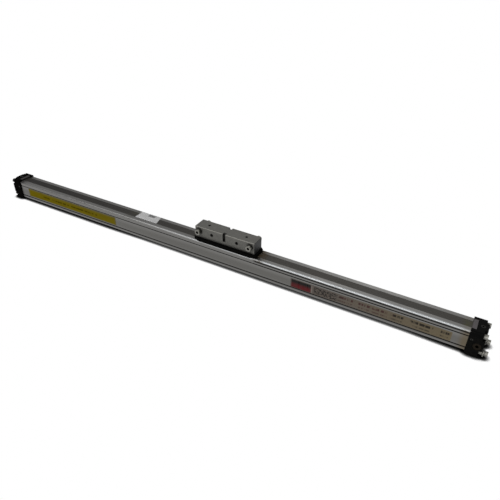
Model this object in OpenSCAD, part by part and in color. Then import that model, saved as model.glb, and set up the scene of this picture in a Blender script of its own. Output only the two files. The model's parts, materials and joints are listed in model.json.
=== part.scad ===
// Rodless air cylinder with a slotted profile tube, two end caps and a carriage.
// X runs along the tube, -Y is the front, Z = 0 is the underside of the end caps.

/* [Tube] */
// Length of the profile tube between the end caps
tube_len = 1037; // [400:1:2000]
// Width of the profile tube
tube_w = 38; // [37:0.5:42]
// Height of the profile tube
tube_h = 40; // [39:0.5:44]
// Radius of the tube's long edges
tube_r = 3; // [1:0.25:3.5]
// Diameter of the bore
bore_d = 25; // [22:0.5:26]
// Height of the bore's axis above the underside of the tube
axis_h = 16; // [15.5:0.25:17]
// Width of the slot along the top of the tube
slot_w = 6.4; // [5:0.2:7]
// Sideways distance of the screw channels from the tube's middle
channel_y = 15.2; // [14.8:0.1:15.5]
// Height of the lower screw channels above the underside of the tube
channel_low = 3.7; // [3.5:0.1:4.2]
// Depth of the upper screw channels below the top of the tube
channel_high = 3.9; // [3.7:0.1:4.6]
// Diameter of the screw channels
channel_d = 4.6; // [4:0.1:4.8]
// Width of the two side grooves
groove_w = 1.8; // [0.8:0.1:2]
// Depth of the two side grooves
groove_d = 1.5; // [0.5:0.1:1.5]
// Depth of the upper side groove below the top of the tube
groove_high = 9.7; // [8.5:0.1:14]
// Height of the lower side groove above the underside of the tube
groove_low = 6.3; // [6.2:0.1:9]

/* [Bands] */
// Width of the outer cover band
cover_w = 16.8; // [14:0.2:18]
// Thickness of the outer cover band
cover_t = 1.1; // [0.8:0.1:1.4]
// Width of the inner sealing band
seal_w = 9; // [8.6:0.2:10]
// Thickness of the inner sealing band
seal_t = 0.8; // [0.5:0.1:1]

/* [End caps] */
// Length of an end cap
cap_len = 25; // [24:0.5:32]
// How far the caps stand out past the tube at the front and the back
cap_side = 2; // [1:0.25:4]
// How far the caps stand out above the tube
cap_rise = 3; // [2.6:0.1:5]
// How far the caps reach below the tube
cap_drop = 5; // [2:0.5:10]
// Radius of the caps' upper long edges
cap_r = 4; // [1:0.5:5]
// Chamfer along the foot of the caps, on the tube side
cap_foot = 3.5; // [1:0.5:4.5]
// Distance of the side ports from the tube's end
port_x = 16; // [14:0.5:18]
// Diameter of the air ports
port_d = 8.8; // [7:0.1:9.6]
// Diameter of the plug flange in a side port
plug_d = 13.2; // [11.5:0.1:14]
// Depth of the thread at the end port
end_port_len = 9; // [6:0.5:9]
// Diameter of the cushion screw
cushion_d = 5; // [3:0.1:5.5]
// Distance of the cushion screw from the tube's end
cushion_x = 5.5; // [4.5:0.1:6.5]
// Height of the cushion screw above the bore's axis
cushion_up = 10.5; // [10:0.1:12]
// Length of the strip that clamps the bands
clamp_len = 7; // [5:0.5:8]
// Width of the strip that clamps the bands
clamp_w = 25; // [20:0.5:28]
// Diameter of the clamp screw's head
clamp_head_d = 7.6; // [6:0.1:8]

/* [Cap screws] */
// Diameter of the cap screws' shank
screw_d = 4.5; // [3.8:0.1:4.5]
// Diameter of the cap screws' head
head_d = 9; // [8:0.1:9.4]
// Length of the cap screws' head
head_len = 6.5; // [5:0.1:7]
// Depth of the corner pockets, from the end face of a cap
pocket_len = 4.5; // [3:0.1:5]
// Depth to which a cap screw reaches into the tube
screw_grip = 14; // [8:1:30]
// Diameter of the thread inside a cap screw's head
head_thread_d = 5; // [4:0.1:5.4]
// Room round a cap screw's head in its pocket
pocket_gap = 1.3; // [0.6:0.1:1.4]
// Diameter of the flat washers under the foot screws
washer_d = 13; // [10:0.2:13.4]
// Thickness of the flat washers under the foot screws
washer_t = 1.2; // [0.8:0.1:1.6]
// Thickness of the spring washers
spring_t = 1.4; // [1:0.1:1.8]

/* [Carriage] */
// Place of the carriage, from the middle of its stroke
carriage_pos = 60; // [-150:1:150]
// Length of the carriage block
block_len = 134; // [126:1:160]
// Width of the carriage block
block_w = 29; // [28:0.5:38]
// Height of the carriage block
block_h = 23.7; // [22:0.1:32]
// Height of the space between the tube and the carriage block
base_h = 7.3; // [6.5:0.1:10]
// Length of the carriage base
base_len = 116; // [112:1:124]
// Width of the carriage base
base_w = 39; // [38:0.5:44]
// Length of the tapered scraper at each end of the base
scraper_len = 13; // [12:0.5:20]
// Width of a scraper at its tip
tip_w = 26; // [20:1:36]
// Distance between the two threaded holes in the top
top_hole_gap = 84; // [76:1:88]
// Distance between the two holes through the sides
side_hole_gap = 56.6; // [40:0.1:66]
// Depth of the side holes' axis below the top of the block
side_hole_down = 11; // [8:0.1:13]
// Diameter of the threaded holes in the top
hole_d = 5; // [4:0.1:6]
// Diameter of the holes through the sides
side_hole_d = 6.4; // [5:0.1:7]
// Depth of the threaded holes in the top
hole_len = 9; // [6:0.5:9.5]
// Width of the slots in the middle of the sides
side_slot_w = 6.4; // [4:0.1:8]
// Depth of the slots in the middle of the sides
side_slot_d = 5.8; // [2:0.1:6.5]
// Height of the slots in the middle of the sides, from the top down
side_slot_h = 17; // [10:0.5:18]
// Distance between the side screws
side_screw_gap = 115; // [112:1:118]
// Depth of the side screws' axis below the top of the block
side_screw_down = 9.6; // [8:0.1:12]
// Diameter of the side screws' head
side_head_d = 11; // [7:0.1:12]
// Length of the side screws' head
side_head_len = 6; // [3:0.1:8]

/* [Pistons] */
// Half the length of the yoke between the pistons
yoke_half = 30; // [26:1:34]
// Distance from the carriage's middle to a piston's face
piston_end = 68; // [66:0.5:69]
// Diameter of the cushion spigots
spigot_d = 10; // [8:0.1:10]
// How far the cushion spigots stand out of the caps
spigot_len = 20; // [16:0.5:20]

/* [Clearances] */
// Gap between the carriage and the tube
ride_gap = 0.3; // [0.2:0.05:0.5]
// Gap on each side of a band in its seat
band_gap = 0.1; // [0.05:0.05:0.2]
// Gap round a shank or a ring in its hole
fit_gap = 0.05; // [0.03:0.01:0.08]

/* [Hidden] */
round_fn = 64;
small = 0.01;

// Heights, from the underside of the caps
tube_z = cap_drop;
tube_top = tube_z + tube_h;
axis_z = tube_z + axis_h;
cap_top = tube_top + cap_rise;
low_z = tube_z + channel_low;
high_z = tube_top - channel_high;
cover_z = tube_top - cover_t;
bore_r = bore_d / 2;
seal_z = axis_z + bore_r + band_gap;
cap_w = tube_w + 2 * cap_side;

// The whole is centred on X = 0, with the foot screws standing out at the right end
foot_head_d = 8.5;
foot_head_len = 5;
left_reach = max(cap_len, cap_len - pocket_len + head_len);
foot_stack = washer_t + spring_t + foot_head_len;
right_reach = left_reach + foot_stack;
tube_x0 = -(tube_len + left_reach + right_reach) / 2 + left_reach;
tube_x1 = tube_x0 + tube_len;

// The carriage and what rides with it
car_x = (tube_x0 + tube_x1) / 2 + carriage_pos;
base_z = tube_top + ride_gap;
block_z = tube_top + base_h;
block_top = block_z + block_h;
edge = 0.8;
web_w = slot_w - 2 * ride_gap;
yoke_r = bore_r - ride_gap;
saddle_w = cover_w + 9.6;
screw_side_y = (cover_w + saddle_w) / 4 + 0.1;
tunnel_gap = 0.45;
lift_z = tube_top + 2.4;
dip_z = axis_z + 8.6;
saddle_ceiling = lift_z + cover_t + tunnel_gap;
lift_in = yoke_half + 1;
lift_out = yoke_half + 17;
neck_end = yoke_half + 22;
guide_in = lift_out + 3;
guide_out = side_screw_gap / 2 + 7;
guide_foot_out = base_len / 2 - 1;
guide_w = cover_w + 1.6;
guide_top = block_top - side_screw_down + 5;
side_screw_z = block_top - side_screw_down;
side_hole_z = block_top - side_hole_down;
foot_w = cover_w - 0.4;
ramp_steps = 12;

// A flat outline in Y and Z, drawn out along X from x0 to x1
module along_x(x0, x1) {
    translate([x0, 0, 0]) rotate([90, 0, 90]) linear_extrude(x1 - x0) children();
}

// A flat outline in X and Z, drawn out along Y to both sides of the middle
module across_y(w) {
    translate([0, w / 2, 0]) rotate([90, 0, 0]) linear_extrude(w) children();
}

// A block between two corners
module block(x0, x1, y0, y1, z0, z1) {
    translate([x0, y0, z0]) cube([x1 - x0, y1 - y0, z1 - z0]);
}

// Round bars along X, Y and Z
module rod_x(d, x0, x1) {
    translate([x0, 0, 0]) rotate([0, 90, 0]) cylinder(d = d, h = x1 - x0, $fn = round_fn);
}
module rod_y(d, y0, y1) {
    translate([0, y0, 0]) rotate([-90, 0, 0]) cylinder(d = d, h = y1 - y0, $fn = round_fn);
}
module rod_z(d, z0, z1) {
    translate([0, 0, z0]) cylinder(d = d, h = z1 - z0, $fn = round_fn);
}

// A rectangle w wide from z0 to z1 with round corners, r0 below and r1 above
module rounded(w, z0, z1, r0, r1) {
    difference() {
        translate([-w / 2, z0]) square([w, z1 - z0]);
        for (s = [-1, 1]) {
            translate([s * w / 2, z1]) corner(s, -1, r1);
            translate([s * w / 2, z0]) corner(s, 1, r0);
        }
    }
}

// The sliver that a round corner leaves out
module corner(side, up, r) {
    difference() {
        translate([side > 0 ? -r : -small, up > 0 ? -small : -r]) square(r + small);
        translate([-side * r, up * r]) circle(r = r, $fn = round_fn);
    }
}

// Puts a piece at the right end of the tube, or its mirror image at the left end
module at_end(side) {
    translate([side > 0 ? tube_x1 : tube_x0, 0, 0]) mirror([side > 0 ? 0 : 1, 0, 0]) children();
}

// Puts a piece at the carriage, or its mirror image about the carriage's middle
module at_carriage(side = 1) {
    translate([car_x, 0, 0]) mirror([side > 0 ? 0 : 1, 0, 0]) children();
}

// Section of the tube
module tube_section() {
    seat_w = seal_w + 2 * band_gap;
    recess_w = cover_w + 2 * band_gap;
    difference() {
        rounded(tube_w, tube_z, tube_top, 1, tube_r);
        translate([0, axis_z]) circle(r = bore_r, $fn = 96);
        translate([-slot_w / 2, axis_z]) square([slot_w, tube_h]);
        translate([-seat_w / 2, axis_z]) square([seat_w, seal_z + seal_t - axis_z]);
        translate([-recess_w / 2, cover_z]) square([recess_w, cover_t + small]);
        for (s = [-1, 1]) {
            translate([s * channel_y, low_z]) circle(d = channel_d, $fn = round_fn);
            translate([s * channel_y, high_z]) circle(d = channel_d, $fn = round_fn);
            side_groove(s, tube_top - groove_high, groove_w, groove_d);
            side_groove(s, tube_z + groove_low, groove_w, groove_d);
        }
    }
}

// A groove in the front or the back of the tube
module side_groove(side, z, w, d) {
    translate([side * (tube_w / 2 - d / 2 + small), z]) square([d + 2 * small, w], center = true);
}

module barrel() {
    color("silver") along_x(tube_x0, tube_x1) tube_section();
}

// Share of the full lift that a band has at a distance from the carriage's middle
function lift(x) = x <= lift_in ? 1 : x >= lift_out ? 0
    : (1 + cos(180 * (x - lift_in) / (lift_out - lift_in))) / 2;

// Stations along a band, with a smooth ramp on each side of the yoke
ramp = [for (i = [0 : ramp_steps]) lift_in + (lift_out - lift_in) * i / ramp_steps];

// A band lying at height z, which rises by dz to pass the yoke
module band(x0, x1, w, t, z, dz) {
    left = [for (i = [ramp_steps : -1 : 0]) [car_x - ramp[i], z + dz * lift(ramp[i])]];
    right = [for (p = ramp) [car_x + p, z + dz * lift(p)]];
    line = concat([[x0, z]], left, right, [[x1, z]]);
    count = len(line);
    back = [for (i = [count - 1 : -1 : 0]) line[i] + [0, t]];
    across_y(w) polygon(concat(line, back));
}

module outer_band() {
    end = clamp_len + 1;
    color("dimgray") band(tube_x0 - end, tube_x1 + end, cover_w, cover_t, cover_z, lift_z - cover_z);
}

module inner_band() {
    end = 6;
    color("lightsteelblue") band(tube_x0 - end, tube_x1 + end, seal_w, seal_t, seal_z, dip_z - seal_z);
}

// Depth of the collar that a cap pushes into the bore
collar_len = 6;
collar_r = bore_r - fit_gap;
seal_ring_r = collar_r - 1.6;
spigot_seat = 6;

module end_cap(side) {
    slot_half = cover_w / 2 + band_gap;
    inner_half = seal_w / 2 + band_gap;
    hole = screw_d + 2 * fit_gap;
    color([0.1, 0.1, 0.1]) at_end(side) difference() {
        union() {
            cap_body();
            translate([0, 0, axis_z]) rod_x(2 * collar_r, -collar_len, 1);
        }
        // Groove for the seal ring on the collar
        translate([0, 0, axis_z]) difference() {
            rod_x(2 * collar_r + 1, -4.5, -2);
            rod_x(2 * seal_ring_r, -5, -1);
        }
        // Slots for the two bands and the seat of the clamp strip
        block(-small, clamp_len + 1, -slot_half, slot_half, cover_z, tube_top + small);
        block(-collar_len - 1, 6, -inner_half, inner_half, seal_z, seal_z + seal_t);
        block(-small, 1 + clamp_len, -clamp_w / 2, clamp_w / 2, tube_top, cap_top + 1);
        // Clamp screw
        translate([port_x, 0, 0]) rod_z(clamp_head_d + 0.4, cap_top - 2.4, cap_top + 1);
        translate([port_x, 0, 0]) rod_z(4 + 2 * fit_gap, axis_z + port_d / 2 + 3, cap_top);
        // Seat of the cushion spigot, air way and end port
        translate([0, 0, axis_z]) {
            rod_x(spigot_d + 2 * fit_gap, -collar_len - 1, spigot_seat);
            rod_x(5, spigot_seat - 1, cap_len - 1);
            rod_x(port_d, cap_len - end_port_len, cap_len + 1);
            // Side ports, with a flat seat for each plug
            translate([port_x, 0, 0]) {
                rod_y(port_d, -cap_w / 2 - 1, cap_w / 2 + 1);
                rod_y(plug_d + 0.8, -cap_w / 2 - 1, -cap_w / 2 + 1.6);
                rod_y(plug_d + 0.8, cap_w / 2 - 1.6, cap_w / 2 + 1);
            }
        }
        // Cushion screw
        translate([cushion_x, 0, axis_z + cushion_up]) rod_y(cushion_d + 2 * fit_gap, -cap_w / 2 - 1, -8);
        // Cap screws in open corner pockets
        for (s = [-1, 1], z = [low_z, high_z]) translate([0, s * channel_y, z]) {
            rod_x(hole, -1, cap_len + 1);
            corner_pocket(s, z > axis_z ? 1 : -1);
        }
    }
}

// Outer form of a cap, with a chamfered foot on the tube side
module cap_body() {
    intersection() {
        along_x(0, cap_len) rounded(cap_w, 0, cap_top, 1.5, cap_r);
        across_y(cap_w + 1) polygon([[0, cap_foot], [cap_foot, 0], [cap_len - 1, 0], [cap_len, 1],
            [cap_len, cap_top - 1.5], [cap_len - 1.5, cap_top], [0, cap_top]]);
    }
}

// Room for a screw head, open towards the corner of the cap
module corner_pocket(side, up) {
    d = head_d + 2 * pocket_gap;
    far = cap_w;
    rod_x(d, cap_len - pocket_len, cap_len + 1);
    block(cap_len - pocket_len, cap_len + 1, side > 0 ? 0 : -far, side > 0 ? far : 0, -d / 2, d / 2);
    if (up > 0)
        block(cap_len - pocket_len, cap_len + 1, side > 0 ? -d / 2 : -far, side > 0 ? far : d / 2, 0, far);
}

module cap_seal(side) {
    color("black") at_end(side) translate([0, 0, axis_z]) difference() {
        rod_x(2 * bore_r - 2 * fit_gap + small, -4.3, -2.2);
        rod_x(2 * seal_ring_r + 0.1, -5, -1);
    }
}

module cushion_spigot(side) {
    color("gainsboro") at_end(side) translate([0, 0, axis_z]) difference() {
        union() {
            rod_x(spigot_d, 2 - spigot_len, spigot_seat);
            translate([2 - spigot_len, 0, 0]) rotate([0, -90, 0])
                cylinder(d1 = spigot_d, d2 = spigot_d - 2, h = 2, $fn = round_fn);
        }
        rod_x(5, -spigot_len - 1, spigot_seat + 1);
    }
}

module cushion_screw(side) {
    tip = 9;
    face = cap_w / 2 - 0.4;
    color("gainsboro") at_end(side) translate([cushion_x, 0, axis_z + cushion_up]) difference() {
        union() {
            rod_y(cushion_d, -face, -tip - 2);
            rotate([-90, 0, 0]) translate([0, 0, -tip - 2])
                cylinder(d1 = cushion_d, d2 = 1.5, h = 2, $fn = round_fn);
        }
        block(-0.5, 0.5, -face - 1, -face + 1.2, -cushion_d, cushion_d);
    }
}

// Hexagonal socket, cut into a head whose face lies at z = 0, down to depth
module hex_socket(across_flats, depth) {
    translate([0, 0, -depth]) cylinder(d = across_flats / cos(30), h = depth + 1, $fn = 6);
}

module port_plugs(side) {
    seat = cap_w / 2 - 1.6;
    color("gray") at_end(side) for (s = [-1, 1]) translate([port_x, 0, axis_z])
        rotate([-90 * s, 0, 0]) difference() {
            union() {
                rod_z(port_d - 2 * fit_gap, seat - 6.5, seat + 1);
                rod_z(plug_d, seat, seat + 1.4);
            }
            translate([0, 0, seat + 1.4]) hex_socket(5, 4.5);
        }
}

module band_clamp(side) {
    half = clamp_w / 2 - band_gap;
    color("silver") at_end(side) difference() {
        block(0.6, clamp_len + 0.6, -half, half, tube_top, cap_top - 0.3);
        // Fine lead-in over the band
        block(0, 1.6, -cover_w / 2, cover_w / 2, tube_top - 1, tube_top + 0.4);
    }
}

module clamp_screw(side) {
    head_z = cap_top - 2.4;
    color("silver") at_end(side) translate([port_x, 0, 0]) difference() {
        union() {
            rod_z(clamp_head_d, head_z, head_z + 2.2);
            rod_z(4, axis_z + port_d / 2 + 4, head_z + 1);
        }
        translate([0, 0, head_z + 2.2]) hex_socket(3, 1.6);
    }
}

// One cap screw along X, its head on the floor of the pocket, with a thread in the head
module cap_screw() {
    floor_x = cap_len - pocket_len;
    difference() {
        union() {
            rod_x(screw_d, -screw_grip, floor_x + 1);
            rod_x(head_d, floor_x, floor_x + head_len);
        }
        rod_x(head_thread_d, floor_x + 1, floor_x + head_len + 1);
    }
}

module cap_screws(side) {
    color("gainsboro") at_end(side) for (s = [-1, 1], z = [low_z, high_z])
        translate([0, s * channel_y, z]) cap_screw();
}

// Puts pieces on the faces of the two lower cap screws at the right end
module at_feet() {
    translate([tube_x1 + cap_len - pocket_len + head_len, 0, low_z]) for (s = [-1, 1])
        translate([0, s * channel_y, 0]) children();
}

module foot_washers() {
    color("gainsboro") at_feet() difference() {
        rod_x(washer_d, 0, washer_t);
        rod_x(head_thread_d + 0.4, -1, washer_t + 1);
    }
}

module foot_spring_washers() {
    bore = head_thread_d + 0.4;
    color("silver") at_feet() difference() {
        rod_x(foot_head_d + 0.7, washer_t, washer_t + spring_t);
        rod_x(bore, 0, washer_t + spring_t + 1);
        translate([0, 0, washer_d / 2]) rotate([35, 0, 0])
            block(0, washer_t + spring_t + 1, -0.4, 0.4, -washer_d / 2, washer_d / 2);
    }
}

module foot_screws() {
    head_x = washer_t + spring_t;
    color("gainsboro") at_feet() difference() {
        union() {
            rod_x(head_thread_d - 2 * fit_gap, -4.5, head_x + 1);
            rod_x(foot_head_d, head_x, head_x + foot_head_len);
        }
        translate([head_x + foot_head_len, 0, 0]) rotate([0, 90, 0]) hex_socket(4, 2.6);
    }
}

module carriage_block() {
    half = block_len / 2;
    seat_half = guide_w / 2 + band_gap;
    color("darkgray") at_carriage() difference() {
        // Body with small chamfers along the top edges and the upright corners
        intersection() {
            block(-half, half, -block_w / 2, block_w / 2, block_z, block_top);
            across_y(block_w + 1) polygon([[-half, block_z], [half, block_z], [half, block_top - edge],
                [half - edge, block_top], [edge - half, block_top], [-half, block_top - edge]]);
            along_x(-half - 1, half + 1) polygon([[-block_w / 2, block_z], [block_w / 2, block_z],
                [block_w / 2, block_top - edge], [block_w / 2 - edge, block_top],
                [edge - block_w / 2, block_top], [-block_w / 2, block_top - edge]]);
            translate([0, 0, block_z - 1]) linear_extrude(block_h + 2) polygon([
                for (c = [[-1, -1], [1, -1], [1, 1], [-1, 1]], turn = [0, 1])
                    let (cut = (turn == 0) == (c[0] * c[1] > 0) ? [0, edge] : [edge, 0])
                    [c[0] * (half - cut[0]), c[1] * (block_w / 2 - cut[1])]]);
        }
        for (s = [-1, 1]) {
            // Threaded holes in the top, and right through from side to side
            translate([s * top_hole_gap / 2, 0, 0]) rod_z(hole_d, block_top - hole_len, block_top + 1);
            translate([s * side_hole_gap / 2, 0, side_hole_z]) rod_y(side_hole_d, -block_w, block_w);
            // Pockets for the band guides
            block(s > 0 ? guide_in - band_gap : -guide_out - band_gap,
                s > 0 ? guide_out + band_gap : -guide_in + band_gap,
                -seat_half, seat_half, block_z - 1, guide_top);
            // Slots in the middle of the sides
            block(-side_slot_w / 2, side_slot_w / 2, s > 0 ? block_w / 2 - side_slot_d : -block_w,
                s > 0 ? block_w : side_slot_d - block_w / 2, block_top - side_slot_h, block_top + 1);
            // Side screws
            translate([s * side_screw_gap / 2, 0, side_screw_z])
                rod_y(side_shank_d + 2 * fit_gap, -block_w, block_w);
            // Threads for the yoke screws
            for (e = [-1, 1]) translate([s * yoke_screw_x, e * screw_side_y, 0])
                rod_z(yoke_shank_d + 2 * fit_gap, block_z - 1, block_z + 7);
        }
    }
}

// Screws of the carriage
side_shank_d = 5;
side_washer_t = 1.6;
yoke_shank_d = 3;
yoke_head_d = 4.2;
yoke_screw_x = yoke_half - 7;

// Puts pieces at the four side screws, with Z running out of the block's side from its face
module at_side_screws() {
    at_carriage() for (x = [-1, 1], s = [-1, 1])
        translate([x * side_screw_gap / 2, s * block_w / 2, side_screw_z]) rotate([-90 * s, 0, 0]) children();
}

module carriage_side_screws() {
    head_end = side_washer_t + side_head_len;
    color("gainsboro") at_side_screws() difference() {
        union() {
            rod_z(side_shank_d, -10, side_washer_t + 1);
            rod_z(side_head_d, side_washer_t, head_end);
        }
        translate([0, 0, head_end]) hex_socket(side_head_d / 2, side_head_len / 2);
    }
}

module carriage_side_washers() {
    color("gainsboro") at_side_screws() difference() {
        rod_z(side_head_d + 1.6, 0, side_washer_t);
        rod_z(side_shank_d + 0.5, -1, side_washer_t + 1);
    }
}

// Opening through the base for the cover band's bow and the feet of the band guides
module guide_opening() {
    out = guide_foot_out + band_gap;
    w = cover_w + 0.8;
    block(-out, out, -w / 2, w / 2, tube_z, block_z + 1);
}

module carriage_base() {
    half = base_len / 2;
    mid = yoke_half + ride_gap;
    side = saddle_w / 2 + band_gap;
    color([0.12, 0.12, 0.12]) at_carriage() difference() {
        block(-half, half, -base_w / 2, base_w / 2, base_z + 0.3, block_z);
        // Opening for the saddle of the yoke, and the way of the cover band
        block(-mid, mid, -side, side, tube_z, block_z + 1);
        block(-half - 1, half + 1, -guide_w / 2, guide_w / 2, tube_z, base_z + 1.2);
        guide_opening();
        // Seats of the slide strips
        for (s = [-1, 1])
            block(-strip_half, strip_half, min(s * strip_in, s * strip_out), max(s * strip_in, s * strip_out),
                tube_z, base_z + strip_t);
    }
}

// Slide strips between the base and the tube's shoulders
strip_half = base_len / 2 - 3;
strip_in = saddle_w / 2 + 0.7;
strip_out = min(tube_w, base_w) / 2 - 0.5;
strip_t = 1.6;

module slide_strips() {
    color("tan") at_carriage() for (s = [-1, 1])
        block(-strip_half, strip_half, min(s * strip_in, s * strip_out), max(s * strip_in, s * strip_out),
            base_z, base_z + strip_t);
}

// Tapered end of the base, in plan
module scraper(side) {
    x0 = base_len / 2;
    x1 = x0 + scraper_len;
    lip = 3;
    color([0.12, 0.12, 0.12]) at_carriage(side) difference() {
        translate([0, 0, base_z]) linear_extrude(block_z - base_z)
            polygon([[x0, -base_w / 2], [x1, -tip_w / 2], [x1, tip_w / 2], [x0, base_w / 2]]);
        // Relief behind the wiping lip, and the sloping top
        block(x0 - 1, x1 - lip, -base_w / 2 + 3, base_w / 2 - 3, tube_z, base_z + 1);
        across_y(base_w + 1) polygon([[x1 - 7, block_z + 1], [x1 + 1, block_z - 2], [x1 + 1, block_z + 1]]);
    }
}

// Shoe that presses the cover band into its recess on one side of the yoke
module band_guide(side) {
    lead = 2.5;
    color([0.2, 0.2, 0.2]) at_carriage(side) difference() {
        union() {
            block(guide_in, guide_out, -guide_w / 2, guide_w / 2, block_z, guide_top);
            block(guide_in, guide_foot_out, -foot_w / 2, foot_w / 2, base_z, block_z + 1);
        }
        across_y(cover_w + 4) polygon([[guide_in - 1, base_z - 1], [guide_in + lead, base_z - 1],
            [guide_in + lead, base_z], [guide_in - 1, base_z + lead]]);
        translate([side_screw_gap / 2, 0, side_screw_z]) rod_y(side_shank_d + 2 * fit_gap, -block_w, block_w);
    }
}

module yoke() {
    half = yoke_half;
    way = cover_w / 2 + ride_gap;
    inner_way = seal_w / 2 + ride_gap;
    color("gray") at_carriage() difference() {
        union() {
            translate([0, 0, axis_z]) rod_x(2 * yoke_r, -half, half);
            block(-half, half, -web_w / 2, web_w / 2, axis_z, base_z + 1);
            block(-half, half, -saddle_w / 2, saddle_w / 2, base_z, block_z);
        }
        // Ways of the cover band and of the sealing band
        block(-half - 1, half + 1, -way, way, lift_z - tunnel_gap, saddle_ceiling);
        block(-half - 1, half + 1, -inner_way, inner_way, dip_z - tunnel_gap, dip_z + seal_t + tunnel_gap);
        // Threads for the piston screws and holes for the yoke screws
        for (s = [-1, 1]) {
            translate([s * half, 0, axis_z])
                rod_x(piston_thread_d + 2 * fit_gap, s > 0 ? -16 : -1, s > 0 ? 1 : 16);
            for (e = [-1, 1]) translate([s * yoke_screw_x, e * screw_side_y, 0]) {
                rod_z(yoke_shank_d + 2 * fit_gap, base_z - 1, block_z + 1);
                rod_z(yoke_head_d + 0.3, base_z - 1, base_z + 2);
            }
        }
    }
}

module yoke_screws() {
    head_z = base_z + 0.4;
    color("gainsboro") at_carriage() for (s = [-1, 1], e = [-1, 1])
        translate([s * yoke_screw_x, e * screw_side_y, 0]) difference() {
            union() {
                rod_z(yoke_shank_d, base_z + 1, block_z + 6);
                rod_z(yoke_head_d, head_z, base_z + 2);
            }
            translate([0, 0, head_z]) rotate([180, 0, 0]) hex_socket(2, 1);
        }
}

// Sizes inside the pistons
piston_thread_d = 6;
piston_head_d = spigot_d;
cushion_bore_d = spigot_d + 1;
seal_x = piston_end - 9;
seal_len = 4;
ring_x = piston_end - 17;
ring_len = 4;
groove_r = bore_r - 2.8;
screw_seat_x = piston_end - 20;

module piston(side) {
    color([0.35, 0.35, 0.35]) at_carriage(side) difference() {
        translate([0, 0, axis_z]) rod_x(2 * yoke_r, yoke_half, piston_end);
        // Flat under the stretch where the sealing band comes down
        block(yoke_half - 1, neck_end, -bore_r, bore_r, dip_z - tunnel_gap, tube_top);
        translate([0, 0, axis_z]) {
            rod_x(piston_thread_d + 2 * fit_gap, yoke_half - 1, piston_end);
            rod_x(cushion_bore_d, screw_seat_x, piston_end + 1);
            piston_groove(seal_x, seal_len);
            piston_groove(ring_x, ring_len);
        }
    }
}

module piston_groove(x, w) {
    difference() {
        rod_x(bore_d, x, x + w);
        rod_x(2 * groove_r, x - 1, x + w + 1);
    }
}

// A ring in one of a piston's grooves, running on the bore
module piston_ring(side, x, w) {
    at_carriage(side) translate([0, 0, axis_z]) difference() {
        rod_x(bore_d - 2 * fit_gap, x + 0.1, x + w - 0.1);
        rod_x(2 * groove_r + 2 * fit_gap, x - 1, x + w + 1);
    }
}

module piston_seal(side) {
    color("black") piston_ring(side, seal_x, seal_len);
}

module guide_ring(side) {
    color("tan") piston_ring(side, ring_x, ring_len);
}

module piston_screw(side) {
    head_end = screw_seat_x + 5;
    color("gainsboro") at_carriage(side) translate([0, 0, axis_z]) difference() {
        union() {
            rod_x(piston_thread_d, yoke_half - 14, screw_seat_x + 1);
            rod_x(piston_head_d, screw_seat_x, head_end);
        }
        translate([head_end, 0, 0]) rotate([0, 90, 0]) hex_socket(5, 3);
    }
}

barrel();
outer_band();
inner_band();
end_cap(-1);  // left_end_cap
end_cap(1);  // right_end_cap
cap_seal(-1);  // left_cap_seal
cap_seal(1);  // right_cap_seal
cushion_spigot(-1);  // left_cushion_spigot
cushion_spigot(1);  // right_cushion_spigot
cushion_screw(-1);  // left_cushion_screw
cushion_screw(1);  // right_cushion_screw
port_plugs(-1);  // left_port_plugs
port_plugs(1);  // right_port_plugs
band_clamp(-1);  // left_band_clamp
band_clamp(1);  // right_band_clamp
clamp_screw(-1);  // left_clamp_screw
clamp_screw(1);  // right_clamp_screw
cap_screws(-1);  // left_cap_screws
cap_screws(1);  // right_cap_screws
foot_screws();
foot_washers();
foot_spring_washers();
carriage_block();
carriage_base();
scraper(-1);  // left_scraper
scraper(1);  // right_scraper
slide_strips();
band_guide(-1);  // left_band_guide
band_guide(1);  // right_band_guide
carriage_side_screws();
carriage_side_washers();
yoke();
yoke_screws();
piston(-1);  // left_piston
piston(1);  // right_piston
piston_seal(-1);  // left_piston_seal
piston_seal(1);  // right_piston_seal
guide_ring(-1);  // left_guide_ring
guide_ring(1);  // right_guide_ring
piston_screw(-1);  // left_piston_screw
piston_screw(1);  // right_piston_screw
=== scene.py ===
import json
import math

import bpy
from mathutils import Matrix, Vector


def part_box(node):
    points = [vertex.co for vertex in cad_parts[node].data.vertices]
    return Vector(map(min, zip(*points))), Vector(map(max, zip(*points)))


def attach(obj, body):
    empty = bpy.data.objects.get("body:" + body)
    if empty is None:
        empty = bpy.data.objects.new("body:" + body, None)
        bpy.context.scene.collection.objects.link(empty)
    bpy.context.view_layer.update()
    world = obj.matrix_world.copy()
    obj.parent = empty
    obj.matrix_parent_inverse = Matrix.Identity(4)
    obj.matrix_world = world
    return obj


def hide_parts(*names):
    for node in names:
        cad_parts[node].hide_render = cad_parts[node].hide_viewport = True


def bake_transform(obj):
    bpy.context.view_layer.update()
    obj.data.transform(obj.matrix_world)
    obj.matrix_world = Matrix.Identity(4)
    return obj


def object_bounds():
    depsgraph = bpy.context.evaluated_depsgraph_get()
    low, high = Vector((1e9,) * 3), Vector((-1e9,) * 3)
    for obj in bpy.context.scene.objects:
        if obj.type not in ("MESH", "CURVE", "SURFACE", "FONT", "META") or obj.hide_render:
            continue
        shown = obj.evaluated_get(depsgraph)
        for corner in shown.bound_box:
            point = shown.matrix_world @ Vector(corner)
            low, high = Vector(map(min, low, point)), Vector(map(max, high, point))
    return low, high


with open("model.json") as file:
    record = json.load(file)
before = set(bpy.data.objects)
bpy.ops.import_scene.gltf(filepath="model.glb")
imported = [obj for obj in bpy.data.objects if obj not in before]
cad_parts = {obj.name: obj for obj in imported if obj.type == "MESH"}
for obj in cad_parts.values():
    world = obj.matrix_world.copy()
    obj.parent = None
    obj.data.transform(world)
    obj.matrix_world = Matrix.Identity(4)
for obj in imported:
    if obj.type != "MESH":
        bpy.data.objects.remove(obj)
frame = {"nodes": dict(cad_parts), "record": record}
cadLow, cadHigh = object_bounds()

mm = 0.001
scene = bpy.context.scene
nodes = frame["nodes"]
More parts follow.
